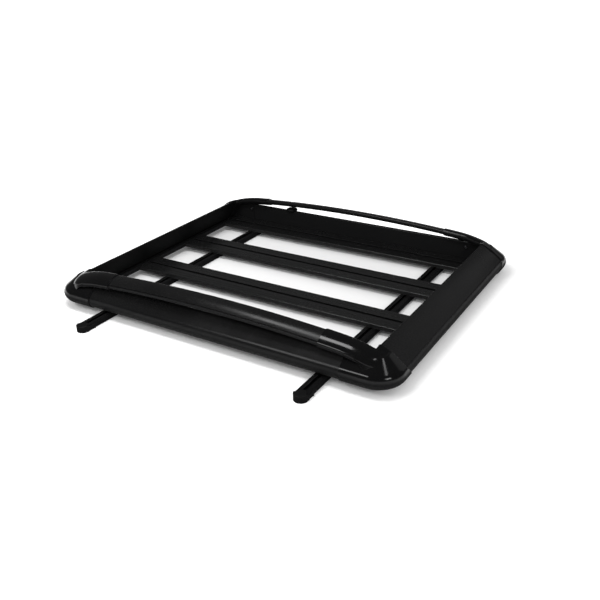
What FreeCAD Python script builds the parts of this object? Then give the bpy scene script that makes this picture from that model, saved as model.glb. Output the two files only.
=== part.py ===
"""Roof basket: four grooved slats on two T-slot crossbars, two sloping end panels,
two sides of an arched rail over a straight rail, and four moulded corner pieces.

Frame: +X points to the front panel, +Y to the left side, +Z up. The origin is on the
floor below the middle of the basket. All sizes are in millimetres.
"""
import FreeCAD, Part
import math
import os

Vec = FreeCAD.Vector

# Whole basket
FRAME_LENGTH = 1242.0
FRAME_WIDTH = 1010.0
CORNER_RADIUS = 80.0
WALL = 2.4
SEAT_GAP = 0.3

# Crossbars with an open T-slot along the top
BAR_SPACING = 800.0
BAR_OVERHANG = 90.0
BAR_WIDTH = 38.0
BAR_HEIGHT = 19.5
BAR_EDGE_RADIUS = 2.5
BAR_SLOT_MOUTH = 11.0
BAR_SLOT_LIP = 2.8
BAR_SLOT_WIDTH = 21.0
BAR_SLOT_DEPTH = 7.0

# Crossbar end caps
CAP_NOSE = 21.0
CAP_CROWN = 19.0
CAP_PROUD = 2.2
CAP_RISE = 1.2
CAP_CHAMFER = 0.8
CAP_PLUG = 22.0
CAP_PAD_RADIUS = 16.0
CAP_PAD_CENTRE = 3.0
CAP_PAD_RISE = 1.0
CAP_TAB_LENGTH = 30.0
CAP_TAB_HEIGHT = 14.0
CAP_TAB_FOOT = 1.5
CAP_NUB_RADIUS = 2.6
CAP_NUB_RISE = 2.4

# Floor slats
SLAT_NAMES = ("right_outer_slat", "right_inner_slat", "left_inner_slat", "left_outer_slat")
SLAT_SIDE_GAP = 3.5
SLAT_WIDTH = 106.0
SLAT_HEIGHT = 14.0
SLAT_WALL = 2.0
SLAT_SLOT_MOUTH = 14.0
SLAT_SLOT_LIP = 2.2
SLAT_SLOT_WIDTH = 21.0
SLAT_SLOT_DEPTH = 5.5
SLAT_LINE_WIDTH = 1.6
SLAT_LINE_DEPTH = 0.9
SLAT_TOP_LINES = 2
SLAT_SIDE_LINES = 2
SLAT_EDGE_RADIUS = 2.5

# Rounded lower outer edge shared by the side rails, end panels and corners
EDGE_RADIUS = 25.0

# Straight lower rails
LOWER_RAIL_HEIGHT = 75.5
LOWER_RAIL_DEPTH = 57.0
LOWER_LIP_RADIUS = 6.0

# Arched upper rails
ARCH_RISE = 13.4
UPPER_CENTRE_INSET = 49.3
UPPER_CENTRE_ABOVE = 32.4
UPPER_HALF_WIDTH = 29.0
UPPER_HALF_THICKNESS = 11.0
UPPER_NOSE_RADIUS = 7.0
UPPER_TILT = 22.0
UPPER_WALL = 3.6
UPPER_GROOVE_AT = 23.5
UPPER_GROOVE_WIDTH = 4.0
UPPER_GROOVE_DEPTH = 2.2

# Sloping end panels
PANEL_HEIGHT = 89.5
PANEL_DEPTH = 84.5
PANEL_LIP_RADIUS = 3.5
PANEL_CROWN = 3.0
PANEL_FOOT_DEPTH = 82.0
PANEL_WALL_FOOT = 60.0

# Moulded corner pieces
SLEEVE_PROUD = 3.0
SOCKET_DEPTH = 46.0
PANEL_SOCKET_DEPTH = 12.0
SEAM_INSET = 95.0
UPPER_SLEEVE_INSET = 234.0
LOWER_SLEEVE_INSET = 159.0
SKIRT_INSET = 133.0
SKIRT_HEIGHT = 45.0
SHOULDER_INSET = 31.0
SHOULDER_FOOT = 25.0
SHOULDER_LENGTH = 34.0
SHOULDER_DROP = 6.0
FLANK_LENGTH = 40.0
FLANK_RUN = 40.0
FLANK_SINK = 0.4
UPPER_END_INSET = 54.0
DIP_SLOPE = 17.0
QUARTER_TURN = 90.0

# Sizes that follow from those above
half_length = FRAME_LENGTH / 2
half_width = FRAME_WIDTH / 2
floor_height = BAR_HEIGHT
deck_height = BAR_HEIGHT + SLAT_HEIGHT
edge_height = floor_height + EDGE_RADIUS
bar_length = FRAME_WIDTH + 2 * BAR_OVERHANG
bar_slot_top = BAR_HEIGHT - BAR_SLOT_LIP
slat_length = 2 * (half_length - PANEL_FOOT_DEPTH - SEAT_GAP)
slat_span = 2 * (half_width - LOWER_RAIL_DEPTH - SLAT_SIDE_GAP) - SLAT_WIDTH
slat_pitch = slat_span / (len(SLAT_NAMES) - 1)
upper_sleeve_start = half_length - UPPER_SLEEVE_INSET
lower_sleeve_start = half_length - LOWER_SLEEVE_INSET
skirt_start = half_width - SKIRT_INSET
upper_centre_height = floor_height + LOWER_RAIL_HEIGHT + UPPER_CENTRE_ABOVE
arch_radius = upper_sleeve_start ** 2 / (2 * ARCH_RISE)
corner_x = half_length - CORNER_RADIUS
corner_y = half_width - CORNER_RADIUS
upper_rail_end = upper_sleeve_start + SOCKET_DEPTH
lower_rail_end = lower_sleeve_start + SOCKET_DEPTH
seam_y = half_width - SEAM_INSET
panel_end = seam_y + PANEL_SOCKET_DEPTH
bend_radius = SEAM_INSET - UPPER_CENTRE_INSET
bend_start = half_length - UPPER_END_INSET - bend_radius * math.cos(math.radians(DIP_SLOPE))
ORIGIN = Vec(0, 0, 0)
ALONG_X = Vec(1, 0, 0)
ALONG_Y = Vec(0, 1, 0)
UPWARD = Vec(0, 0, 1)


def at(x, z):
    """A point of a section drawn in the XZ plane."""
    return Vec(x, 0, z)


def line(a, b):
    return Part.LineSegment(a, b).toShape()


def arc(a, b, c):
    return Part.Arc(a, b, c).toShape()


def face_of(edges):
    return Part.Face(Part.Wire(edges))


def rectangle(x0, x1, z0, z1):
    corners = [at(x0, z0), at(x1, z0), at(x1, z1), at(x0, z1), at(x0, z0)]
    return Part.Face(Part.makePolygon(corners))


def around(centre, radius, degrees):
    """The point of a circle in the XZ plane at an angle from +X."""
    angle = math.radians(degrees)
    return at(centre.x + radius * math.cos(angle), centre.z + radius * math.sin(angle))


def tangent_angle(upper, upper_radius, lower, lower_radius):
    """Direction of the outer normal of the line that touches two circles on their outboard side."""
    run = lower.sub(upper)
    heading = math.degrees(math.atan2(run.z, run.x))
    return heading + math.degrees(math.acos((upper_radius - lower_radius) / run.Length))


def along_y(face, length):
    """A bar of that section, centred on the XZ plane."""
    solid = face.extrude(ALONG_Y * length)
    solid.translate(ALONG_Y * (-length / 2))
    return solid


def turned(shape, degrees):
    copy = shape.copy()
    copy.rotate(ORIGIN, UPWARD, degrees)
    return copy


def write(name, shape):
    solid = shape.removeSplitter()
    solid.exportStep(os.path.join("parts", name + ".step"))


def lower_rail_face(grow=0.0):
    """Section of a lower rail: upright inner wall, sloping outer face, round outer edge."""
    edge = at(half_width - EDGE_RADIUS, edge_height)
    lip = at(
        half_width - LOWER_RAIL_DEPTH + LOWER_LIP_RADIUS,
        floor_height + LOWER_RAIL_HEIGHT - LOWER_LIP_RADIUS,
    )
    edge_radius = EDGE_RADIUS + grow
    lip_radius = LOWER_LIP_RADIUS + grow
    slope = tangent_angle(lip, lip_radius, edge, edge_radius)
    foot = at(lip.x - lip_radius, floor_height - grow)
    outer_top = around(lip, lip_radius, slope)
    inner_top = around(lip, lip_radius, 180)
    return face_of([
        line(outer_top, around(edge, edge_radius, slope)),
        arc(around(edge, edge_radius, slope), around(edge, edge_radius, 0), around(edge, edge_radius, -90)),
        line(around(edge, edge_radius, -90), foot),
        line(foot, inner_top),
        arc(inner_top, around(lip, lip_radius, (180 + slope) / 2), outer_top),
    ])


def panel_face(grow=0.0, foot_grow=0.0):
    """Section of an end panel: crowned slope, round outer edge, leaning inner wall and foot."""
    edge = at(half_length - EDGE_RADIUS, edge_height)
    lip = at(half_length - PANEL_DEPTH + PANEL_LIP_RADIUS, floor_height + PANEL_HEIGHT - PANEL_LIP_RADIUS)
    edge_radius = EDGE_RADIUS + grow
    lip_radius = PANEL_LIP_RADIUS + grow
    slope = tangent_angle(lip, lip_radius, edge, edge_radius)
    top = around(lip, lip_radius, slope)
    bottom = around(edge, edge_radius, slope)
    crown = (top + bottom) * 0.5 + around(ORIGIN, PANEL_CROWN, slope)
    foot_x = half_length - PANEL_FOOT_DEPTH + foot_grow
    wall_foot = at(half_length - PANEL_WALL_FOOT - grow, deck_height)
    return face_of([
        arc(top, crown, bottom),
        arc(bottom, around(edge, edge_radius, 0), around(edge, edge_radius, -90)),
        line(around(edge, edge_radius, -90), at(foot_x, floor_height - grow)),
        line(at(foot_x, floor_height - grow), at(foot_x, deck_height)),
        line(at(foot_x, deck_height), wall_foot),
        line(wall_foot, around(lip, lip_radius, 180)),
        arc(around(lip, lip_radius, 180), around(lip, lip_radius, (180 + slope) / 2), top),
    ])


def hollow(face, wall):
    """The section with its inside taken out, leaving a wall of even thickness."""
    inner = face.OuterWire.makeOffset2D(-wall)
    return face.cut(Part.Face(inner))


def upper_rail_face(grow=0.0):
    """Section of an upper rail: a flat oval of four tangent arcs that leans outboard."""
    nose = UPPER_NOSE_RADIUS + grow
    run = UPPER_HALF_WIDTH - UPPER_NOSE_RADIUS
    rise = UPPER_HALF_THICKNESS - UPPER_NOSE_RADIUS
    drop = (run ** 2 - rise ** 2) / (2 * rise)
    reach = math.hypot(run, drop)
    join_across = run + nose * run / reach
    join_up = nose * drop / reach
    lean = math.radians(UPPER_TILT)

    def point(across, up):
        outboard = across * math.cos(lean) + up * math.sin(lean)
        upward = up * math.cos(lean) - across * math.sin(lean)
        return at(half_width - UPPER_CENTRE_INSET + outboard, upper_centre_height + upward)

    outer_top = point(join_across, join_up)
    outer_bottom = point(join_across, -join_up)
    inner_top = point(-join_across, join_up)
    inner_bottom = point(-join_across, -join_up)
    return face_of([
        arc(inner_top, point(0, UPPER_HALF_THICKNESS + grow), outer_top),
        arc(outer_top, point(UPPER_HALF_WIDTH + grow, 0), outer_bottom),
        arc(outer_bottom, point(0, -UPPER_HALF_THICKNESS - grow), inner_bottom),
        arc(inner_bottom, point(-UPPER_HALF_WIDTH - grow, 0), inner_top),
    ])


def arched(face, start, end):
    """A rail along Y that bends down away from the middle, between two distances from there."""
    axis_point = at(0, upper_centre_height - arch_radius)
    first = math.degrees(math.asin(start / arch_radius))
    last = math.degrees(math.asin(end / arch_radius))
    section = face.copy()
    section.rotate(axis_point, ALONG_X, -first)
    return section.revolve(axis_point, ALONG_X, first - last)


def make_upper_rail():
    section = upper_rail_face().cut(upper_rail_face(-UPPER_WALL))
    groove = rectangle(
        -UPPER_GROOVE_WIDTH / 2,
        UPPER_GROOVE_WIDTH / 2,
        UPPER_NOSE_RADIUS - UPPER_GROOVE_DEPTH,
        UPPER_HALF_THICKNESS,
    )
    groove.translate(at(UPPER_GROOVE_AT, 0))
    groove.rotate(ORIGIN, ALONG_Y, UPPER_TILT)
    groove.translate(at(half_width - UPPER_CENTRE_INSET, upper_centre_height))
    return arched(section.cut(groove).Faces[0], -upper_rail_end, upper_rail_end)


def make_crossbar():
    half = BAR_WIDTH / 2
    body = rectangle(-half, half, 0, BAR_HEIGHT)
    slot_floor = bar_slot_top - BAR_SLOT_DEPTH
    mouth = rectangle(-BAR_SLOT_MOUTH / 2, BAR_SLOT_MOUTH / 2, bar_slot_top, BAR_HEIGHT)
    channel = rectangle(-BAR_SLOT_WIDTH / 2, BAR_SLOT_WIDTH / 2, slot_floor, bar_slot_top)
    void = rectangle(-half + WALL, half - WALL, WALL, slot_floor - WALL)
    side = rectangle(BAR_SLOT_WIDTH / 2 + WALL, half - WALL, slot_floor - WALL, bar_slot_top)
    section = body.cut([mouth, channel, void, side, side.mirror(ORIGIN, ALONG_X)])
    bar = along_y(section.removeSplitter(), bar_length)
    long_edges = [edge for edge in bar.Edges if edge.BoundBox.YLength > BAR_WIDTH]
    corners = [edge for edge in long_edges if abs(edge.BoundBox.Center.x) > half - SEAT_GAP]
    return bar.makeFillet(BAR_EDGE_RADIUS, corners)


def make_bar_cap():
    """Rounded end cap of a crossbar on its +Y end."""
    half = BAR_WIDTH / 2 + CAP_PROUD
    start = bar_length / 2
    nose = start + CAP_NOSE
    straight = nose - CAP_CROWN
    plan = face_of([
        line(Vec(-half, start, 0), Vec(half, start, 0)),
        line(Vec(half, start, 0), Vec(half, straight, 0)),
        arc(Vec(half, straight, 0), Vec(0, nose, 0), Vec(-half, straight, 0)),
        line(Vec(-half, straight, 0), Vec(-half, start, 0)),
    ])
    head = plan.extrude(UPWARD * (BAR_HEIGHT + CAP_RISE))
    top_edges = [edge for edge in head.Edges if edge.BoundBox.ZMin > BAR_HEIGHT]
    head = head.makeChamfer(CAP_CHAMFER, top_edges)
    pad_base = Vec(0, start + CAP_PAD_CENTRE, BAR_HEIGHT)
    pad = Part.makeCylinder(CAP_PAD_RADIUS, CAP_RISE + CAP_PAD_RISE, pad_base)
    plug = Part.makeBox(
        BAR_SLOT_WIDTH - 2 * SEAT_GAP,
        CAP_PLUG,
        BAR_SLOT_DEPTH - 2 * SEAT_GAP,
        Vec(-BAR_SLOT_WIDTH / 2 + SEAT_GAP, start - CAP_PLUG, bar_slot_top - BAR_SLOT_DEPTH + SEAT_GAP),
    )
    pieces = [pad, plug]
    for side in (1, -1):
        face_x = side * BAR_WIDTH / 2
        corner = Vec(min(face_x, side * half), start - CAP_TAB_LENGTH, CAP_TAB_FOOT)
        pieces.append(Part.makeBox(CAP_PROUD, CAP_TAB_LENGTH, CAP_TAB_HEIGHT, corner))
        for place in (start - CAP_NUB_RADIUS, start - CAP_TAB_LENGTH + CAP_NUB_RADIUS):
            base = Vec(face_x, place, CAP_TAB_FOOT + CAP_NUB_RADIUS)
            nub = Part.makeCylinder(CAP_NUB_RADIUS, CAP_PROUD + CAP_NUB_RISE, base, ALONG_X * side)
            pieces.append(nub)
    return head.fuse(pieces)


def make_slat():
    """Slat along Y before it is turned: T-slot down the middle, fine lines beside it and on its sides."""
    half = SLAT_WIDTH / 2
    body = rectangle(-half, half, floor_height, deck_height)
    slot_top = deck_height - SLAT_SLOT_LIP
    slot_floor = slot_top - SLAT_SLOT_DEPTH
    mouth = rectangle(-SLAT_SLOT_MOUTH / 2, SLAT_SLOT_MOUTH / 2, slot_top, deck_height)
    channel = rectangle(-SLAT_SLOT_WIDTH / 2, SLAT_SLOT_WIDTH / 2, slot_floor, slot_top)
    chamber = rectangle(
        SLAT_SLOT_WIDTH / 2 + SLAT_WALL,
        half - SLAT_WALL - SLAT_LINE_DEPTH,
        floor_height + SLAT_WALL,
        deck_height - SLAT_WALL - SLAT_LINE_DEPTH,
    )
    doubled = [chamber]
    for index in range(SLAT_TOP_LINES):
        share = (index + 1) / (SLAT_TOP_LINES + 1)
        near = SLAT_SLOT_WIDTH / 2 + (half - SLAT_SLOT_WIDTH / 2) * share - SLAT_LINE_WIDTH / 2
        doubled.append(rectangle(near, near + SLAT_LINE_WIDTH, deck_height - SLAT_LINE_DEPTH, deck_height))
    for index in range(SLAT_SIDE_LINES):
        low = floor_height + SLAT_HEIGHT * (index + 1) / (SLAT_SIDE_LINES + 1) - SLAT_LINE_WIDTH / 2
        doubled.append(rectangle(half - SLAT_LINE_DEPTH, half, low, low + SLAT_LINE_WIDTH))
    cuts = [mouth, channel]
    for piece in doubled:
        cuts.append(piece)
        cuts.append(piece.mirror(ORIGIN, ALONG_X))
    slat = along_y(body.cut(cuts), slat_length)
    long_edges = [edge for edge in slat.Edges if edge.BoundBox.YLength > SLAT_WIDTH]
    top_edges = [edge for edge in long_edges if edge.BoundBox.ZMin > deck_height - SEAT_GAP]
    corners = [edge for edge in top_edges if abs(edge.BoundBox.Center.x) > half - SEAT_GAP]
    return slat.makeFillet(SLAT_EDGE_RADIUS, corners)


def make_upper_tube():
    """Upper sleeve: along the arch, dipping faster towards the bend, then round a leaning axis.

    It is made along Y with the outboard side at +X, as the rails are, and turned at the end.
    """
    face = upper_rail_face(SLEEVE_PROUD)
    along_arch = arched(face, upper_sleeve_start, upper_rail_end)
    arch_axis = at(0, upper_centre_height - arch_radius)
    first_slope = math.degrees(math.asin(upper_rail_end / arch_radius))
    face.rotate(arch_axis, ALONG_X, -first_slope)
    centre = Vec(half_width - UPPER_CENTRE_INSET, upper_rail_end, 0)
    centre.z = arch_axis.z + arch_radius * math.cos(math.radians(first_slope))
    dip = first_slope - DIP_SLOPE
    dip_radius = (bend_start - upper_rail_end) / (
        math.sin(math.radians(DIP_SLOPE)) - math.sin(math.radians(first_slope))
    )
    towards_axis = Vec(0, -math.sin(math.radians(first_slope)), -math.cos(math.radians(first_slope)))
    dip_axis = centre + towards_axis * dip_radius
    dipping = face.revolve(dip_axis, ALONG_X, dip)
    face.rotate(dip_axis, ALONG_X, dip)
    turned_out = FreeCAD.Rotation(ALONG_X, dip)
    centre = dip_axis + turned_out.multVec(towards_axis * -dip_radius)
    bend_axis = centre - ALONG_X * bend_radius
    lean = math.radians(DIP_SLOPE)
    free_form = face.toNurbs().Faces[0]
    bend = free_form.revolve(bend_axis, Vec(0, math.sin(lean), math.cos(lean)), QUARTER_TURN)
    return along_arch.fuse([dipping, bend, make_flank(centre)])


def make_flank(centre):
    """Web under the upper tube's outer nose that closes the recess above the lower tube at the bend."""
    lean = math.radians(DIP_SLOPE)
    tilt = math.radians(UPPER_TILT)
    up = Vec(0, math.sin(lean), math.cos(lean))
    onward = Vec(0, math.cos(lean), -math.sin(lean))
    reach = UPPER_HALF_WIDTH - UPPER_NOSE_RADIUS
    nose = at(reach * math.cos(tilt), -reach * math.sin(tilt))
    edge = at(half_width - EDGE_RADIUS - centre.x, (edge_height - centre.z) / math.cos(lean))
    nose_radius = UPPER_NOSE_RADIUS + SLEEVE_PROUD - FLANK_SINK
    slope = tangent_angle(nose, nose_radius, edge, EDGE_RADIUS)
    outline = [nose, around(nose, nose_radius, slope), around(edge, EDGE_RADIUS, slope), edge, nose]
    section = Part.Face(Part.makePolygon([centre + ALONG_X * p.x + up * p.z for p in outline]))
    before = section.extrude(onward * -FLANK_LENGTH)
    after = section.revolve(centre - ALONG_X * bend_radius, up, QUARTER_TURN)
    first = Vec(0, centre.y - FLANK_LENGTH, centre.z + FLANK_LENGTH * math.tan(lean))
    last = Vec(0, centre.y + FLANK_RUN, edge_height)
    first = first + (first - last)
    below = Part.Face(Part.makePolygon([first, last, Vec(0, first.y, last.z), first]))
    return before.fuse(after).cut(below.extrude(ALONG_X * FRAME_WIDTH))


def make_lower_tube():
    """Lower sleeve along the side, round the corner and on to the end panel."""
    section = turned(lower_rail_face(SLEEVE_PROUD), QUARTER_TURN)
    straight = section.copy()
    straight.translate(ALONG_X * lower_sleeve_start)
    straight = straight.extrude(ALONG_X * (corner_x - lower_sleeve_start))
    section.translate(ALONG_X * corner_x)
    bend = section.revolve(Vec(corner_x, corner_y, 0), UPWARD, -QUARTER_TURN)
    end = lower_rail_face(SLEEVE_PROUD)
    end.translate(Vec(half_length - half_width, seam_y, 0))
    return straight.fuse([bend, end.extrude(ALONG_Y * (corner_y - seam_y))])


def make_skirt():
    """Sleeve under the end panel's outer edge, cut back on a slant from the bend to its own start."""
    sleeve = panel_face(SLEEVE_PROUD).extrude(ALONG_Y * (seam_y - skirt_start))
    sleeve.translate(ALONG_Y * skirt_start)
    low = floor_height - SLEEVE_PROUD
    high = floor_height + PANEL_HEIGHT + SLEEVE_PROUD
    slant = Part.makePolygon([
        Vec(0, skirt_start, low),
        Vec(0, seam_y, low + SKIRT_HEIGHT),
        Vec(0, seam_y, high),
        Vec(0, skirt_start, high),
        Vec(0, skirt_start, low),
    ])
    return sleeve.cut(Part.Face(slant).extrude(ALONG_X * FRAME_LENGTH))


def make_shoulder():
    """Inner top part of the panel section, carried on past its seam and down into the tube."""
    low = floor_height + SHOULDER_FOOT
    high = floor_height + PANEL_HEIGHT + SLEEVE_PROUD + PANEL_CROWN
    section = panel_face(SLEEVE_PROUD).common(rectangle(0, half_length - SHOULDER_INSET, low, high))
    section.translate(ALONG_Y * seam_y)
    return section.Faces[0].extrude(Vec(0, SHOULDER_LENGTH, -SHOULDER_DROP))


def mirrored_side(shape):
    """A piece made along +Y with its outboard side at +X, laid along +X with that side at +Y."""
    return shape.mirror(ORIGIN, Vec(1, -1, 0))


def make_corner():
    """Front left corner: two tube sockets that merge round the bend into one panel socket."""
    solid = mirrored_side(make_upper_tube()).fuse([make_lower_tube(), make_skirt(), make_shoulder()])
    upper_socket = mirrored_side(arched(upper_rail_face(SEAT_GAP), 0, upper_rail_end + SEAT_GAP))
    lower_socket = turned(along_y(lower_rail_face(SEAT_GAP), 2 * (lower_rail_end + SEAT_GAP)), QUARTER_TURN)
    panel_socket = along_y(panel_face(SEAT_GAP, -SEAT_GAP), 2 * (panel_end + SEAT_GAP))
    slat_seat = Part.makeBox(
        slat_length / 2 + SEAT_GAP,
        (slat_span + SLAT_WIDTH) / 2 + SEAT_GAP,
        SLAT_HEIGHT + SEAT_GAP,
        Vec(0, 0, floor_height),
    )
    return solid.cut([upper_socket, lower_socket, panel_socket, slat_seat])


def build():
    os.makedirs("parts", exist_ok=True)
    crossbar = make_crossbar()
    cap = make_bar_cap()
    for name, x in (("front", BAR_SPACING / 2), ("rear", -BAR_SPACING / 2)):
        for side, turn in (("left", 0), ("right", 180)):
            end = turned(cap, turn)
            end.translate(ALONG_X * x)
            write(f"{name}_crossbar_{side}_cap", end)
        bar = crossbar.copy()
        bar.translate(ALONG_X * x)
        write(f"{name}_crossbar", bar)
    slat = turned(make_slat(), QUARTER_TURN)
    for index, name in enumerate(SLAT_NAMES):
        piece = slat.copy()
        piece.translate(ALONG_Y * (slat_pitch * index - slat_span / 2))
        write(name, piece)
    lower_rail = along_y(hollow(lower_rail_face(), WALL), 2 * lower_rail_end)
    upper_rail = make_upper_rail()
    for side, turn in (("left", QUARTER_TURN), ("right", -QUARTER_TURN)):
        write(f"{side}_lower_rail", turned(lower_rail, turn))
        write(f"{side}_upper_rail", turned(upper_rail, turn))
    panel = along_y(hollow(panel_face(), WALL), 2 * panel_end)
    write("front_panel", panel)
    write("rear_panel", turned(panel, 180))
    corner = make_corner()
    mirrored = corner.mirror(ORIGIN, ALONG_Y)
    write("front_left_corner", corner)
    write("front_right_corner", mirrored)
    write("rear_right_corner", turned(corner, 180))
    write("rear_left_corner", turned(mirrored, 180))


build()
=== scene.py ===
"""Looks and studio stage of a black roof basket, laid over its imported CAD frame."""
import math

import bmesh
import bpy
from bpy.props import FloatProperty, FloatVectorProperty, PointerProperty
from mathutils import Matrix, Vector


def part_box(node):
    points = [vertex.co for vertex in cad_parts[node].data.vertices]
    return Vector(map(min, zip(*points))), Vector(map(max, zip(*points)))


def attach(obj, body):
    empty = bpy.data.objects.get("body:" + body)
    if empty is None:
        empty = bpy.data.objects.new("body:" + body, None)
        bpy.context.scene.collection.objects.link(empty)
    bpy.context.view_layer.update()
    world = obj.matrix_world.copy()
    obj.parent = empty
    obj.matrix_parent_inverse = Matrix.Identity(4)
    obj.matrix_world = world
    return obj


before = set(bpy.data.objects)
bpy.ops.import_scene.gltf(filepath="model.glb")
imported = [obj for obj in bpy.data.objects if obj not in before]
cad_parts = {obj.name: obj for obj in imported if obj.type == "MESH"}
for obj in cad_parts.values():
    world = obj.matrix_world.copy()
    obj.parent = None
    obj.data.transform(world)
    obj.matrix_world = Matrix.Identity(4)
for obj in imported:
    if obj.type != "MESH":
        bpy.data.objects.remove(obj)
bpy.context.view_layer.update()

bl_info = {
    "name": "Roof Basket Finish",
    "version": (1, 0, 0),
    "blender": (4, 5, 0),
    "location": "3D View > Sidebar > Basket",
    "description": "Finishes, screws, rail stud and studio stage for a black roof basket",
    "category": "Object",
}

BODY = "root"

RAILS = ("left_lower_rail", "right_lower_rail", "left_upper_rail", "right_upper_rail")
PANELS = ("front_panel", "rear_panel")
SLATS = ("right_outer_slat", "right_inner_slat", "left_inner_slat", "left_outer_slat")
CROSSBARS = ("front_crossbar", "rear_crossbar")
CAPS = tuple(f"{end}_crossbar_{side}_cap" for end in ("front", "rear") for side in ("left", "right"))
CORNERS = tuple(f"{end}_{side}_corner" for end in ("front", "rear") for side in ("left", "right"))

WHITE = (1.0, 1.0, 1.0, 1.0)

# Die lines per metre on an extrusion drawn along X or along Y
ALONG_X = (2.0, 500.0, 500.0)
ALONG_Y = (500.0, 2.0, 500.0)

# Rings from the foot up, as shares of the radius and of the height
SCREW_OUTLINE = ((1.0, 0.0), (1.0, 0.45), (0.93, 0.75), (0.78, 0.94), (0.62, 1.0))
STUD_OUTLINE = ((1.0, 0.0), (1.0, 0.3), (0.94, 0.6), (0.78, 0.84), (0.5, 0.96), (0.2, 1.0))
SCREW_SEGMENTS = 24
STUD_SEGMENTS = 32

# Shares of the height at which the screw's socket ends and by which the stud is sunk
SOCKET_FLOOR = 0.35
STUD_SUNK = 0.3

# Point of the near right corner at which two of the lamps look
NEAR_RIGHT_CORNER = (0.58, -0.47, 0.08)

# Place, aim, width and depth of each lamp in metres, and the stage setting that holds its power
SOFT_BOXES = {
    "overhead_soft_box": ((-0.3, -0.55, 1.85), (-0.3, -0.55, 0.0), (1.2, 0.4), "key_power"),
    "near_strip": ((-0.6, -1.9, 1.7), (0.2, -0.45, 0.1), (1.2, 0.4), "strip_power"),
    "right_soft_box": ((1.6, 1.9, 1.35), (0.55, 0.0, 0.06), (1.6, 1.2), "fill_power"),
    "corner_soft_box": ((2.4, -1.3, 1.25), NEAR_RIGHT_CORNER, (0.7, 0.45), "accent_power"),
    "corner_lamp": ((1.4, -0.5, 1.9), NEAR_RIGHT_CORNER, (0.3, 0.15), "glint_power"),
}


class BasketFinish(bpy.types.PropertyGroup):
    """Colours, roughness and shine of the basket's surfaces."""

    coat_colour: FloatVectorProperty(
        name="Coat colour", description="Satin powder coat on rails, panels, slats and crossbars",
        default=(0.0045, 0.0045, 0.0047), subtype="COLOR", min=0.0, max=1.0,
    )
    coat_roughness: FloatProperty(
        name="Coat roughness", description="Middle roughness of the powder coat",
        default=0.24, subtype="FACTOR", min=0.0, max=1.0,
    )
    gloss_colour: FloatVectorProperty(
        name="Gloss colour", description="Polished moulded corners",
        default=(0.0028, 0.0028, 0.003), subtype="COLOR", min=0.0, max=1.0,
    )
    gloss_roughness: FloatProperty(
        name="Gloss roughness", description="Middle roughness of the moulded corners",
        default=0.11, subtype="FACTOR", min=0.0, max=1.0,
    )
    cap_colour: FloatVectorProperty(
        name="Cap colour", description="Moulded crossbar end caps and rail stud",
        default=(0.0035, 0.0035, 0.0037), subtype="COLOR", min=0.0, max=1.0,
    )
    cap_roughness: FloatProperty(
        name="Cap roughness", description="Middle roughness of the caps and the stud",
        default=0.5, subtype="FACTOR", min=0.0, max=1.0,
    )
    screw_colour: FloatVectorProperty(
        name="Screw colour", description="Blackened steel of the corner screws",
        default=(0.10, 0.10, 0.105), subtype="COLOR", min=0.0, max=1.0,
    )
    coat_wear_colour: FloatVectorProperty(
        name="Coat wear colour", description="Powder coat where its edges are rubbed",
        default=(0.05, 0.05, 0.052), subtype="COLOR", min=0.0, max=1.0,
    )
    gloss_wear_colour: FloatVectorProperty(
        name="Gloss wear colour", description="Moulded corners where their edges are rubbed",
        default=(0.03, 0.03, 0.031), subtype="COLOR", min=0.0, max=1.0,
    )
    cap_wear_colour: FloatVectorProperty(
        name="Cap wear colour", description="Caps and stud where their edges are rubbed",
        default=(0.06, 0.06, 0.06), subtype="COLOR", min=0.0, max=1.0,
    )
    screw_wear_colour: FloatVectorProperty(
        name="Screw wear colour", description="Bare steel on the rims of the screws",
        default=(0.45, 0.45, 0.46), subtype="COLOR", min=0.0, max=1.0,
    )
    dust_colour: FloatVectorProperty(
        name="Dust colour", description="Faint dust on faces that look up",
        default=(0.10, 0.098, 0.095), subtype="COLOR", min=0.0, max=1.0,
    )
    # Painted shade: near-black colour laid into the grooves and slots, where shade falls.
    groove_shade_colour: FloatVectorProperty(
        name="Groove shade colour", description="Painted shade in grooves and slots",
        default=(0.001, 0.001, 0.001), subtype="COLOR", min=0.0, max=1.0,
    )
    rail_shine: FloatProperty(
        name="Rail shine", description="Specular level of the side rails",
        default=0.16, subtype="FACTOR", min=0.0, max=1.0,
    )
    panel_shine: FloatProperty(
        name="Panel shine", description="Specular level of the end panels",
        default=0.1, subtype="FACTOR", min=0.0, max=1.0,
    )
    slat_shine: FloatProperty(
        name="Slat shine", description="Specular level of the floor slats",
        default=0.35, subtype="FACTOR", min=0.0, max=1.0,
    )
    crossbar_shine: FloatProperty(
        name="Crossbar shine", description="Specular level of the crossbars",
        default=0.04, subtype="FACTOR", min=0.0, max=1.0,
    )
    gloss_shine: FloatProperty(
        name="Gloss shine", description="Specular level of the moulded corners",
        default=0.26, subtype="FACTOR", min=0.0, max=1.0,
    )
    cap_shine: FloatProperty(
        name="Cap shine", description="Specular level of the caps and the stud",
        default=0.12, subtype="FACTOR", min=0.0, max=1.0,
    )


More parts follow.
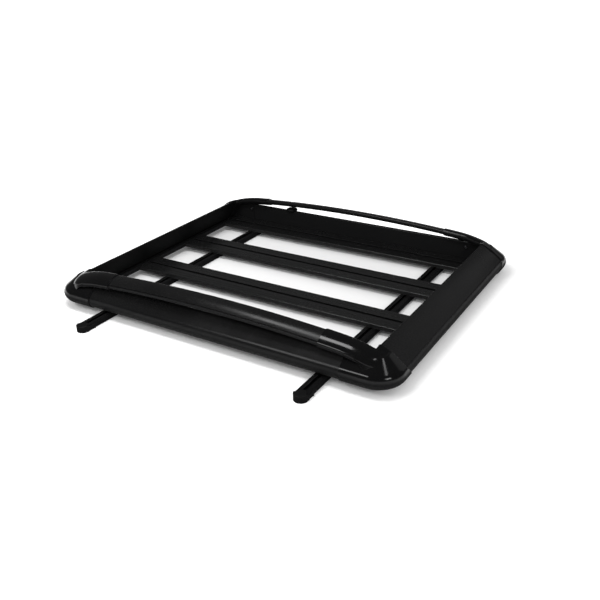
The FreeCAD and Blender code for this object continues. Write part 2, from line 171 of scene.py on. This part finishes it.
class BasketScrews(bpy.types.PropertyGroup):
    """Sizes of the screws that hold the corners to the lower rails."""

    head_radius: FloatProperty(
        name="Head radius", description="Radius of a pan head",
        default=0.005, unit="LENGTH", min=0.002, max=0.02,
    )
    head_height: FloatProperty(
        name="Head height", description="Height of a pan head",
        default=0.0028, unit="LENGTH", min=0.001, max=0.01,
    )
    socket_radius: FloatProperty(
        name="Socket radius", description="Corner radius of the hexagon socket",
        default=0.0023, unit="LENGTH", min=0.001, max=0.01,
    )
    height_share: FloatProperty(
        name="Height share", description="Place of a screw on the sleeve's inner wall, from foot to top",
        default=0.7, subtype="FACTOR", min=0.1, max=0.9,
    )
    end_distance: FloatProperty(
        name="End distance", description="Distance of a screw from the lower rail's end",
        default=0.036, unit="LENGTH", min=0.0, max=0.2,
    )
    sleeve_proud: FloatProperty(
        name="Sleeve proud", description="How far the corner's sleeve stands proud of the lower rail",
        default=0.003, unit="LENGTH", min=0.0, max=0.01,
    )


class BasketStud(bpy.types.PropertyGroup):
    """Sizes of the domed stud between the left rails."""

    radius: FloatProperty(
        name="Radius", description="Radius of the stud's foot",
        default=0.023, unit="LENGTH", min=0.005, max=0.05,
    )
    height: FloatProperty(
        name="Height", description="Height of the dome above the lower rail",
        default=0.0075, unit="LENGTH", min=0.002, max=0.03,
    )
    place: FloatProperty(
        name="Place", description="Distance of the stud behind the basket's middle",
        default=0.28, unit="LENGTH", min=0.0, max=0.5,
    )
    inset_share: FloatProperty(
        name="Inset share", description="Distance of its middle from the rail's inner wall, in radii",
        default=0.55, min=0.0, max=2.0,
    )


class BasketStage(bpy.types.PropertyGroup):
    """Floor, lamps, surroundings and camera."""

    floor_colour: FloatVectorProperty(
        name="Floor colour", description="Plain pale floor",
        default=(0.86, 0.86, 0.86), subtype="COLOR", min=0.0, max=1.0,
    )
    floor_half_size: FloatProperty(
        name="Floor half size", description="Distance of the floor's edges from the basket's middle",
        default=30.0, unit="LENGTH", min=1.0, max=100.0,
    )
    floor_lift: FloatProperty(
        name="Floor lift", description="Share of white that the near floor has besides its own shade",
        default=0.02, subtype="FACTOR", min=0.0, max=1.0,
    )
    near_reach: FloatProperty(
        name="Near reach", description="Distance from the load floor up to which the floor has its lift",
        default=0.0, unit="LENGTH", min=0.0, max=10.0,
    )
    far_reach: FloatProperty(
        name="Far reach", description="Distance from the load floor beyond which the floor is white",
        default=0.38, unit="LENGTH", min=0.02, max=20.0,
    )
    key_power: FloatProperty(
        name="Key power", description="Power of the overhead soft box",
        default=18.0, unit="POWER", min=0.0, max=500.0,
    )
    fill_power: FloatProperty(
        name="Fill power", description="Power of the soft box at the far right of the picture",
        default=2.1, unit="POWER", min=0.0, max=500.0,
    )
    accent_power: FloatProperty(
        name="Accent power", description="Power of the soft box before the near right corner",
        default=10.0, unit="POWER", min=0.0, max=500.0,
    )
    strip_power: FloatProperty(
        name="Strip power", description="Power of the strip lamp over the near side",
        default=14.0, unit="POWER", min=0.0, max=500.0,
    )
    glint_power: FloatProperty(
        name="Glint power", description="Power of the small lamp over the near right corner",
        default=1.0, unit="POWER", min=0.0, max=500.0,
    )
    room_light: FloatProperty(
        name="Room light", description="Strength of the even light from the room",
        default=0.58, min=0.0, max=2.0,
    )
    ceiling: FloatProperty(
        name="Ceiling", description="Brightness of the ceiling that polished surfaces mirror",
        default=0.12, subtype="FACTOR", min=0.0, max=1.0,
    )
    ceiling_start: FloatProperty(
        name="Ceiling start", description="Sine of the angle above the horizon where the ceiling begins",
        default=0.1, subtype="FACTOR", min=0.01, max=1.0,
    )
    lens: FloatProperty(
        name="Lens", description="Focal length on a 36 mm sensor, in millimetres",
        default=43.49, min=10.0, max=200.0,
    )
    camera_place: FloatVectorProperty(
        name="Camera place", description="Camera position in the basket's frame",
        default=(1.25124, -1.94656, 1.0666), subtype="TRANSLATION", unit="LENGTH",
    )
    camera_heading: FloatProperty(
        name="Camera heading", description="Turn of the view about the vertical from +Y",
        default=math.radians(32.02), subtype="ANGLE",
    )
    camera_pitch: FloatProperty(
        name="Camera pitch", description="Angle of the view below the horizon",
        default=math.radians(25.93), subtype="ANGLE",
    )
    camera_roll: FloatProperty(
        name="Camera roll", description="Turn of the picture about the view",
        default=math.radians(-1.67), subtype="ANGLE",
    )


def add_node(tree, kind, settings=None, inputs=None):
    """A node with its settings; an input takes a value or a link from another node's output."""
    made = tree.nodes.new(kind)
    for name, value in (settings or {}).items():
        setattr(made, name, value)
    for name, value in (inputs or {}).items():
        if isinstance(value, bpy.types.NodeSocket):
            tree.links.new(value, made.inputs[name])
        else:
            made.inputs[name].default_value = value
    return made


def calculate(tree, operation, first, second=0.0, clamp=False):
    """Output of a Math node."""
    return add_node(
        tree, "ShaderNodeMath", {"operation": operation, "use_clamp": clamp}, {0: first, 1: second}
    ).outputs[0]


def remap(tree, value, source, target):
    """Output of a Map Range node from one pair of ends to another, which it keeps to."""
    inputs = {
        "Value": value,
        "From Min": source[0],
        "From Max": source[1],
        "To Min": target[0],
        "To Max": target[1],
    }
    return add_node(tree, "ShaderNodeMapRange", {"clamp": True}, inputs).outputs["Result"]


def blend_colours(tree, share, first, second):
    """Output of a colour Mix node."""
    made = add_node(tree, "ShaderNodeMix", {"data_type": "RGBA"}, {0: share, 6: first, 7: second})
    return made.outputs[2]


def noise(tree, vector, scale, detail=2.0):
    """Value of a Noise texture at that scale per metre."""
    return add_node(
        tree, "ShaderNodeTexNoise", None, {"Vector": vector, "Scale": scale, "Detail": detail}
    ).outputs[0]


def object_place(tree):
    """A point's place in its object's own frame."""
    return add_node(tree, "ShaderNodeTexCoord").outputs["Object"]


def upward_share(tree):
    """How far a face looks up, from -1 to 1."""
    normal = add_node(tree, "ShaderNodeNewGeometry").outputs["Normal"]
    return add_node(tree, "ShaderNodeSeparateXYZ", None, {0: normal}).outputs["Z"]


def start_group(name, inputs, outputs):
    """An empty shader node group with its sockets, its input node and its output node."""
    tree = bpy.data.node_groups.new(name, "ShaderNodeTree")
    for socket_name, kind, default in inputs:
        socket = tree.interface.new_socket(socket_name, in_out="INPUT", socket_type=kind)
        socket.default_value = default
    for socket_name, kind in outputs:
        tree.interface.new_socket(socket_name, in_out="OUTPUT", socket_type=kind)
    return tree, tree.nodes.new("NodeGroupInput"), tree.nodes.new("NodeGroupOutput")


def powder_coat(name):
    """Fine leathery grain of powder coat, with slow changes of shade and gloss."""
    tree, given, result = start_group(
        name,
        [
            ("Color", "NodeSocketColor", (0.01, 0.01, 0.01, 1.0)),
            ("Roughness", "NodeSocketFloat", 0.4),
            ("Grain Scale", "NodeSocketFloat", 700.0),
        ],
        [("Color", "NodeSocketColor"), ("Roughness", "NodeSocketFloat"), ("Height", "NodeSocketFloat")],
    )
    place = object_place(tree)
    grain = noise(tree, place, given.outputs["Grain Scale"], detail=3.0)
    cloud = noise(tree, place, scale=7.0, detail=4.0)
    paled = 0.003
    lighter = blend_colours(tree, paled, given.outputs["Color"], WHITE)
    tree.links.new(blend_colours(tree, cloud, given.outputs["Color"], lighter), result.inputs["Color"])
    slow = remap(tree, cloud, (0.3, 0.7), (-0.05, 0.05))
    fine = remap(tree, grain, (0.3, 0.7), (-0.03, 0.03))
    clouded = calculate(tree, "ADD", given.outputs["Roughness"], slow)
    tree.links.new(calculate(tree, "ADD", clouded, fine, clamp=True), result.inputs["Roughness"])
    tree.links.new(grain, result.inputs["Height"])


def edge_wear(name):
    """Mask of the sharp edges, broken up where hands and straps have rubbed them."""
    tree, given, result = start_group(
        name,
        [("Radius", "NodeSocketFloat", 0.0015), ("Amount", "NodeSocketFloat", 0.5)],
        [("Mask", "NodeSocketFloat")],
    )
    rounded = add_node(tree, "ShaderNodeBevel", {"samples": 6}, {"Radius": given.outputs["Radius"]})
    flat = add_node(tree, "ShaderNodeNewGeometry")
    same = add_node(
        tree, "ShaderNodeVectorMath", {"operation": "DOT_PRODUCT"},
        {0: rounded.outputs["Normal"], 1: flat.outputs["Normal"]},
    ).outputs["Value"]
    edge = remap(tree, same, (0.995, 0.9), (0.0, 1.0))
    patches = noise(tree, object_place(tree), scale=60.0, detail=5.0)
    broken = remap(tree, patches, (0.42, 0.62), (0.25, 1.0))
    rubbed = calculate(tree, "MULTIPLY", edge, broken)
    mask = calculate(tree, "MULTIPLY", rubbed, given.outputs["Amount"], clamp=True)
    tree.links.new(mask, result.inputs["Mask"])


def drawn_lines(name):
    """Faint die lines of an extrusion, long along one axis and fine across the others."""
    tree, given, result = start_group(
        name, [("Stretch", "NodeSocketVector", ALONG_X)], [("Height", "NodeSocketFloat")]
    )
    drawn = add_node(
        tree, "ShaderNodeVectorMath", {"operation": "MULTIPLY"},
        {0: object_place(tree), 1: given.outputs["Stretch"]},
    ).outputs["Vector"]
    tree.links.new(noise(tree, drawn, scale=1.0), result.inputs["Height"])


def matt_below(name):
    """Roughness that is added to faces that look sideways or down, where road dirt takes the shine."""
    tree, given, result = start_group(
        name,
        [
            ("Roughness", "NodeSocketFloat", 0.4),
            ("Amount", "NodeSocketFloat", 0.4),
            ("Level", "NodeSocketFloat", 0.6),
        ],
        [("Roughness", "NodeSocketFloat")],
    )
    short = calculate(tree, "SUBTRACT", given.outputs["Level"], upward_share(tree))
    below = remap(tree, short, (0.0, 0.5), (0.0, 1.0))
    added = calculate(tree, "MULTIPLY", below, given.outputs["Amount"])
    rough = calculate(tree, "ADD", given.outputs["Roughness"], added, clamp=True)
    tree.links.new(rough, result.inputs["Roughness"])


def groove_grime(name):
    """Mask of the grooves and slots from ambient occlusion, used to paint shade into them as a near-black
    colour and to dull their shine.
    """
    tree, given, result = start_group(
        name,
        [("Reach", "NodeSocketFloat", 0.006), ("Amount", "NodeSocketFloat", 1.0)],
        [("Mask", "NodeSocketFloat")],
    )
    openness = add_node(
        tree, "ShaderNodeAmbientOcclusion", {"samples": 8, "only_local": True},
        {"Distance": given.outputs["Reach"]},
    ).outputs["AO"]
    deep = remap(tree, openness, (0.92, 0.55), (0.0, 1.0))
    mask = calculate(tree, "MULTIPLY", deep, given.outputs["Amount"], clamp=True)
    tree.links.new(mask, result.inputs["Mask"])


def settled_dust(name):
    """Mask of the faint dust on faces that look up."""
    tree, given, result = start_group(
        name, [("Amount", "NodeSocketFloat", 0.2)], [("Mask", "NodeSocketFloat")]
    )
    grit = noise(tree, object_place(tree), scale=260.0, detail=6.0)
    specks = remap(tree, grit, (0.5, 0.75), (0.0, 1.0))
    level = remap(tree, upward_share(tree), (0.5, 1.0), (0.0, 1.0))
    settled = calculate(tree, "MULTIPLY", specks, level)
    mask = calculate(tree, "MULTIPLY", settled, given.outputs["Amount"], clamp=True)
    tree.links.new(mask, result.inputs["Mask"])


GROUPS = {
    "powder_coat": powder_coat,
    "edge_wear": edge_wear,
    "drawn_lines": drawn_lines,
    "matt_below": matt_below,
    "groove_grime": groove_grime,
    "settled_dust": settled_dust,
}


def use_group(tree, name, inputs):
    """A node that places a group in a material; the group is built when it is first asked for."""
    if name not in bpy.data.node_groups:
        GROUPS[name](name)
    return add_node(tree, "ShaderNodeGroup", {"node_tree": bpy.data.node_groups[name]}, inputs)


def start_material(name):
    """An empty node material with its shader and output."""
    material = bpy.data.materials.new(name)
    material.use_nodes = True
    tree = material.node_tree
    tree.nodes.clear()
    shader = tree.nodes.new("ShaderNodeBsdfPrincipled")
    output = tree.nodes.new("ShaderNodeOutputMaterial")
    tree.links.new(shader.outputs["BSDF"], output.inputs["Surface"])
    return material, tree, shader


def link_bump(tree, shader, height, strength, distance, rounding):
    """A Bump node between a height and the shader's normal, over edges softened by a small radius."""
    rounded = add_node(tree, "ShaderNodeBevel", {"samples": 8}, {"Radius": rounding})
    bump = add_node(
        tree, "ShaderNodeBump", None,
        {
            "Strength": strength,
            "Distance": distance,
            "Height": height,
            "Normal": rounded.outputs["Normal"],
        },
    )
    tree.links.new(bump.outputs["Normal"], shader.inputs["Normal"])


def four(colour):
    """A property's colour with full alpha."""
    return (*colour, 1.0)


def coat_material(name, stretch, shine, matt_level=0.5):
    """Satin black powder coat over an extrusion drawn along one axis, duller below an upward level."""
    if name in bpy.data.materials:
        return bpy.data.materials[name]
    finish = bpy.context.scene.basket_finish
    material, tree, shader = start_material(name)
    coat = use_group(
        tree, "powder_coat",
        {"Color": four(finish.coat_colour), "Roughness": finish.coat_roughness, "Grain Scale": 800.0},
    )
    wear = use_group(tree, "edge_wear", {"Radius": 0.0012, "Amount": 0.5})
    dust = use_group(tree, "settled_dust", {"Amount": 0.05})
    # Painted shade: the occlusion mask darkens the grooves and slots and dulls their shine.
    groove_shade = use_group(tree, "groove_grime", {"Reach": 0.006, "Amount": 1.0})
    worn = blend_colours(tree, wear.outputs["Mask"], coat.outputs["Color"], four(finish.coat_wear_colour))
    dusty = blend_colours(tree, dust.outputs["Mask"], worn, four(finish.dust_colour))
    shaded_grooves = blend_colours(tree, groove_shade.outputs["Mask"], dusty, four(finish.groove_shade_colour))
    tree.links.new(shaded_grooves, shader.inputs["Base Color"])
    dull = calculate(tree, "ADD", coat.outputs["Roughness"], groove_shade.outputs["Mask"], clamp=True)
    matt = use_group(tree, "matt_below", {"Roughness": dull, "Amount": 0.6, "Level": matt_level})
    tree.links.new(matt.outputs["Roughness"], shader.inputs["Roughness"])
    lines = use_group(tree, "drawn_lines", {"Stretch": stretch})
    line_share = 0.6
    faint = calculate(tree, "MULTIPLY", lines.outputs["Height"], line_share)
    height = calculate(tree, "ADD", coat.outputs["Height"], faint)
    link_bump(tree, shader, height, strength=0.12, distance=0.0002, rounding=0.0008)
    shader.inputs["Specular IOR Level"].default_value = shine
    return material


def gloss_material():
    """Polished black moulding with faint orange peel and hairline scuffs."""
    name = "gloss_black_moulding"
    if name in bpy.data.materials:
        return bpy.data.materials[name]
    finish = bpy.context.scene.basket_finish
    material, tree, shader = start_material(name)
    place = object_place(tree)
    peel = noise(tree, place, scale=90.0)
    scuff = remap(tree, noise(tree, place, scale=35.0, detail=8.0), (0.55, 0.75), (0.0, 0.08))
    wear = use_group(tree, "edge_wear", {"Radius": 0.0012, "Amount": 0.12})
    polished = four(finish.gloss_colour)
    worn = blend_colours(tree, wear.outputs["Mask"], polished, four(finish.gloss_wear_colour))
    tree.links.new(worn, shader.inputs["Base Color"])
    rough = calculate(tree, "ADD", scuff, finish.gloss_roughness, clamp=True)
    matt = use_group(tree, "matt_below", {"Roughness": rough, "Amount": 0.9, "Level": 0.45})
    tree.links.new(matt.outputs["Roughness"], shader.inputs["Roughness"])
    link_bump(tree, shader, peel, strength=0.05, distance=0.0004, rounding=0.0004)
    shader.inputs["Specular IOR Level"].default_value = finish.gloss_shine
    return material


def cap_material():
    """Grained black moulded plastic."""
    name = "grained_black_plastic"
    if name in bpy.data.materials:
        return bpy.data.materials[name]
    finish = bpy.context.scene.basket_finish
    material, tree, shader = start_material(name)
    coat = use_group(
        tree, "powder_coat",
        {"Color": four(finish.cap_colour), "Roughness": finish.cap_roughness, "Grain Scale": 1400.0},
    )
    wear = use_group(tree, "edge_wear", {"Radius": 0.001, "Amount": 0.4})
    worn = blend_colours(tree, wear.outputs["Mask"], coat.outputs["Color"], four(finish.cap_wear_colour))
    tree.links.new(worn, shader.inputs["Base Color"])
    rough = coat.outputs["Roughness"]
    matt = use_group(tree, "matt_below", {"Roughness": rough, "Amount": 0.5, "Level": 0.5})
    tree.links.new(matt.outputs["Roughness"], shader.inputs["Roughness"])
    link_bump(tree, shader, coat.outputs["Height"], strength=0.3, distance=0.0003, rounding=0.001)
    shader.inputs["Specular IOR Level"].default_value = finish.cap_shine
    return material


def screw_material():
    """Blackened steel, rubbed bright on its rims."""
    name = "blackened_steel"
    if name in bpy.data.materials:
        return bpy.data.materials[name]
    finish = bpy.context.scene.basket_finish
    material, tree, shader = start_material(name)
    wear = use_group(tree, "edge_wear", {"Radius": 0.0005, "Amount": 0.8})
    blackened = four(finish.screw_colour)
    worn = blend_colours(tree, wear.outputs["Mask"], blackened, four(finish.screw_wear_colour))
    tree.links.new(worn, shader.inputs["Base Color"])
    grain = noise(tree, object_place(tree), scale=900.0)
    tree.links.new(remap(tree, grain, (0.3, 0.7), (0.25, 0.4)), shader.inputs["Roughness"])
    shader.inputs["Metallic"].default_value = 1.0
    return material


def dress(names, material):
    """Gives CAD nodes one finish."""
    for name in names:
        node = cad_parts[name]
        node.data.materials.clear()
        node.data.materials.append(material)


class BASKET_OT_rails(bpy.types.Operator):
    """Finish the arched upper rails and the straight lower rails"""

    bl_idname = "basket.rails"
    bl_label = "Side rails"

    def execute(self, context):
        shine = context.scene.basket_finish.rail_shine
        dress(RAILS, coat_material("satin_black_rail", ALONG_X, shine))
        return {"FINISHED"}


class BASKET_OT_panels(bpy.types.Operator):
    """Finish the sloping end panels"""

    bl_idname = "basket.panels"
    bl_label = "End panels"

    def execute(self, context):
        shine = context.scene.basket_finish.panel_shine
        dress(PANELS, coat_material("satin_black_panel", ALONG_Y, shine, matt_level=0.72))
        return {"FINISHED"}


class BASKET_OT_slats(bpy.types.Operator):
    """Finish the grooved floor slats"""

    bl_idname = "basket.slats"
    bl_label = "Floor slats"

    def execute(self, context):
        shine = context.scene.basket_finish.slat_shine
        dress(SLATS, coat_material("satin_black_slat", ALONG_X, shine))
        return {"FINISHED"}


class BASKET_OT_crossbars(bpy.types.Operator):
    """Finish the crossbars and their end caps"""

    bl_idname = "basket.crossbars"
    bl_label = "Crossbars and caps"

    def execute(self, context):
        shine = context.scene.basket_finish.crossbar_shine
        dress(CROSSBARS, coat_material("satin_black_crossbar", ALONG_Y, shine))
        dress(CAPS, cap_material())
        return {"FINISHED"}


class BASKET_OT_corners(bpy.types.Operator):
    """Finish the polished moulded corners"""

    bl_idname = "basket.corners"
    bl_label = "Moulded corners"

    def execute(self, context):
        dress(CORNERS, gloss_material())
        return {"FINISHED"}


def add_ring(mesh, reaches, level):
    """A closed ring of points about the Z axis at one level, with its reach at each step."""
    ring = []
    for step, reach in enumerate(reaches):
        angle = math.tau * step / len(reaches)
        ring.append(mesh.verts.new((reach * math.cos(angle), reach * math.sin(angle), level)))
    return ring


def join_rings(mesh, rings):
    """Walls from each ring to the next, and a face across the last ring and the first."""
    for lower, upper in zip(rings, rings[1:]):
        for step in range(len(lower)):
            after = (step + 1) % len(lower)
            mesh.faces.new((lower[step], lower[after], upper[after], upper[step]))
    mesh.faces.new(rings[-1])
    mesh.faces.new(list(reversed(rings[0])))


def finish_mesh(name, mesh):
    """Mesh data from a bmesh, which is freed."""
    data = bpy.data.meshes.new(name)
    mesh.to_mesh(data)
    mesh.free()
    return data


def hexagon_reaches(radius, segments):
    """Reach of a hexagon's outline at each step of a full turn."""
    side = math.pi / 3
    reaches = []
    for step in range(segments):
        within = math.tau * step / segments % side - side / 2
        reaches.append(radius * math.cos(side / 2) / math.cos(within))
    return reaches


def screw_mesh(sizes):
    """A pan head with a domed rim and a hexagon socket, standing on the XY plane."""
    mesh = bmesh.new()
    rings = []
    for share, level in SCREW_OUTLINE:
        reaches = [share * sizes.head_radius] * SCREW_SEGMENTS
        rings.append(add_ring(mesh, reaches, level * sizes.head_height))
    socket = hexagon_reaches(sizes.socket_radius, SCREW_SEGMENTS)
    for level in (1.0, SOCKET_FLOOR):
        rings.append(add_ring(mesh, socket, level * sizes.head_height))
    join_rings(mesh, rings)
    bmesh.ops.recalc_face_normals(mesh, faces=mesh.faces)
    return finish_mesh("corner_screw", mesh)


class BASKET_OT_screws(bpy.types.Operator):
    """Add the screws that hold each corner to its lower rail"""

    bl_idname = "basket.screws"
    bl_label = "Corner screws"

    def execute(self, context):
        sizes = context.scene.basket_screws
        material = screw_material()
        for end, sign in (("front", 1), ("rear", -1)):
            for side, hand in (("left", 1), ("right", -1)):
                rail_low, rail_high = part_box(f"{side}_lower_rail")
                x = sign * (rail_high.x - sizes.end_distance)
                inner = min(abs(rail_low.y), abs(rail_high.y)) - sizes.sleeve_proud
                z = rail_low.z + sizes.height_share * (rail_high.z - rail_low.z)
                screw = bpy.data.objects.new(f"{end}_{side}_corner_screw", screw_mesh(sizes))
                context.scene.collection.objects.link(screw)
                facing = Matrix.Rotation(hand * math.pi / 2, 4, "X")
                screw.matrix_world = Matrix.Translation((x, hand * inner, z)) @ facing
                screw.data.materials.append(material)
                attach(screw, BODY)
        return {"FINISHED"}


def stud_mesh(sizes):
    """A low dome with an upright rim, standing on the XY plane and sunk a little below it."""
    sunk = STUD_SUNK * sizes.height
    mesh = bmesh.new()
    rings = []
    for share, level in STUD_OUTLINE:
        reaches = [share * sizes.radius] * STUD_SEGMENTS
        rings.append(add_ring(mesh, reaches, level * (sizes.height + sunk) - sunk))
    join_rings(mesh, rings)
    for face in mesh.faces:
        face.smooth = True
    return finish_mesh("rail_stud", mesh)


class BASKET_OT_stud(bpy.types.Operator):
    """Add the domed stud in the slit between the left rails"""

    bl_idname = "basket.stud"
    bl_label = "Rail stud"

    def execute(self, context):
        sizes = context.scene.basket_stud
        rail_low, rail_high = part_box("left_lower_rail")
        stud = bpy.data.objects.new("left_rail_stud", stud_mesh(sizes))
        context.scene.collection.objects.link(stud)
        stud.location = (-sizes.place, rail_low.y + sizes.inset_share * sizes.radius, rail_high.z)
        stud.data.materials.append(cap_material())
        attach(stud, BODY)
        return {"FINISHED"}


def load_floor_distance(tree):
    """Distance of a floor point from the rectangle between the end panels and the lower rails."""
    sides = add_node(tree, "ShaderNodeSeparateXYZ", None, {0: object_place(tree)})
    half_sizes = {"X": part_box("front_panel")[0].x, "Y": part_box("left_lower_rail")[0].y}
    squares = []
    for axis, half in half_sizes.items():
        outside = calculate(tree, "SUBTRACT", calculate(tree, "ABSOLUTE", sides.outputs[axis]), half)
        squares.append(calculate(tree, "POWER", calculate(tree, "MAXIMUM", outside, 0.0), 2.0))
    return calculate(tree, "SQRT", calculate(tree, "ADD", *squares))


def floor_material(stage):
    """Matt white floor that keeps its shadows near the basket and is seen as white further away."""
    material, tree, shader = start_material("white_floor")
    shader.inputs["Base Color"].default_value = four(stage.floor_colour)
    shader.inputs["Roughness"].default_value = 0.9
    shader.inputs["Specular IOR Level"].default_value = 0.0
    path = add_node(tree, "ShaderNodeLightPath")
    seen = calculate(tree, "MAXIMUM", path.outputs["Is Camera Ray"], path.outputs["Is Glossy Ray"])
    seen = calculate(tree, "MAXIMUM", seen, path.outputs["Is Transmission Ray"])
    reach = (stage.near_reach, stage.far_reach)
    white = remap(tree, load_floor_distance(tree), reach, (stage.floor_lift, 1.0))
    shader.inputs["Emission Color"].default_value = WHITE
    tree.links.new(calculate(tree, "MULTIPLY", seen, white), shader.inputs["Emission Strength"])
    return material


def make_floor(stage):
    """A wide plain floor under the crossbars."""
    half = stage.floor_half_size
    data = bpy.data.meshes.new("studio_floor")
    corners = [(-half, -half, 0.0), (half, -half, 0.0), (half, half, 0.0), (-half, half, 0.0)]
    data.from_pydata(corners, [], [(0, 1, 2, 3)])
    floor = bpy.data.objects.new("studio_floor", data)
    floor.data.materials.append(floor_material(stage))
    bpy.context.scene.collection.objects.link(floor)


def make_room(stage):
    """Even room light; what is mirrored is white near the floor and darker towards the ceiling."""
    world = bpy.data.worlds.new("studio_room")
    bpy.context.scene.world = world
    world.use_nodes = True
    tree = world.node_tree
    tree.nodes.clear()
    path = add_node(tree, "ShaderNodeLightPath")
    seen = calculate(tree, "MAXIMUM", path.outputs["Is Glossy Ray"], path.outputs["Is Transmission Ray"])
    direction = add_node(tree, "ShaderNodeTexCoord").outputs["Generated"]
    upward = add_node(tree, "ShaderNodeSeparateXYZ", None, {0: direction}).outputs["Z"]
    wall = remap(tree, upward, (0.0, stage.ceiling_start), (1.0, stage.ceiling))
    mirrored = add_node(
        tree, "ShaderNodeMix", {"data_type": "FLOAT"}, {0: seen, 2: stage.room_light, 3: wall}
    ).outputs[0]
    level = calculate(tree, "MAXIMUM", mirrored, path.outputs["Is Camera Ray"])
    backdrop = add_node(tree, "ShaderNodeBackground", None, {"Color": WHITE, "Strength": level})
    output = tree.nodes.new("ShaderNodeOutputWorld")
    tree.links.new(backdrop.outputs["Background"], output.inputs["Surface"])


def make_soft_box(name, place, aim, size, power):
    """A rectangular lamp that looks at a point."""
    data = bpy.data.lights.new(name, "AREA")
    data.shape = "RECTANGLE"
    data.size, data.size_y = size
    data.energy = power
    lamp = bpy.data.objects.new(name, data)
    lamp.location = place
    lamp.rotation_euler = (Vector(aim) - Vector(place)).to_track_quat("-Z", "Y").to_euler()
    bpy.context.scene.collection.objects.link(lamp)


def make_camera(stage):
    """The camera at the photograph's viewing angle."""
    data = bpy.data.cameras.new("basket_camera")
    data.sensor_width = 36.0
    data.lens = stage.lens
    data.clip_end = 200.0
    camera = bpy.data.objects.new("basket_camera", data)
    turn = Matrix.Rotation(stage.camera_heading, 4, "Z")
    tilt = Matrix.Rotation(math.pi / 2 - stage.camera_pitch, 4, "X")
    roll = Matrix.Rotation(stage.camera_roll, 4, "Z")
    camera.matrix_world = Matrix.Translation(stage.camera_place) @ turn @ tilt @ roll
    bpy.context.scene.collection.objects.link(camera)
    bpy.context.scene.camera = camera


class BASKET_OT_stage(bpy.types.Operator):
    """Build the white floor, the soft boxes, the room light and the camera"""

    bl_idname = "basket.stage"
    bl_label = "Studio stage"

    def execute(self, context):
        stage = context.scene.basket_stage
        context.scene.view_settings.view_transform = "Standard"
        make_floor(stage)
        make_room(stage)
        for name, (place, aim, size, power) in SOFT_BOXES.items():
            make_soft_box(name, place, aim, size, getattr(stage, power))
        make_camera(stage)
        return {"FINISHED"}


OPERATORS = (
    BASKET_OT_rails,
    BASKET_OT_panels,
    BASKET_OT_slats,
    BASKET_OT_crossbars,
    BASKET_OT_corners,
    BASKET_OT_screws,
    BASKET_OT_stud,
    BASKET_OT_stage,
)


class BASKET_PT_sidebar(bpy.types.Panel):
    """Sidebar panel that lists the basket's steps"""

    bl_idname = "BASKET_PT_sidebar"
    bl_label = "Roof basket"
    bl_space_type = "VIEW_3D"
    bl_region_type = "UI"
    bl_category = "Basket"

    def draw(self, context):
        for operator in OPERATORS:
            self.layout.operator(operator.bl_idname)


CLASSES = (BasketFinish, BasketScrews, BasketStud, BasketStage, *OPERATORS, BASKET_PT_sidebar)


def register():
    for cls in CLASSES:
        bpy.utils.register_class(cls)
    bpy.types.Scene.basket_finish = PointerProperty(type=BasketFinish)
    bpy.types.Scene.basket_screws = PointerProperty(type=BasketScrews)
    bpy.types.Scene.basket_stud = PointerProperty(type=BasketStud)
    bpy.types.Scene.basket_stage = PointerProperty(type=BasketStage)


def unregister():
    del bpy.types.Scene.basket_stage
    del bpy.types.Scene.basket_stud
    del bpy.types.Scene.basket_screws
    del bpy.types.Scene.basket_finish
    for cls in reversed(CLASSES):
        bpy.utils.unregister_class(cls)


def main():
    register()
    bpy.ops.basket.rails()
    bpy.ops.basket.panels()
    bpy.ops.basket.slats()
    bpy.ops.basket.crossbars()
    bpy.ops.basket.corners()
    bpy.ops.basket.screws()
    bpy.ops.basket.stud()
    bpy.ops.basket.stage()


if __name__ == "__main__":
    main()
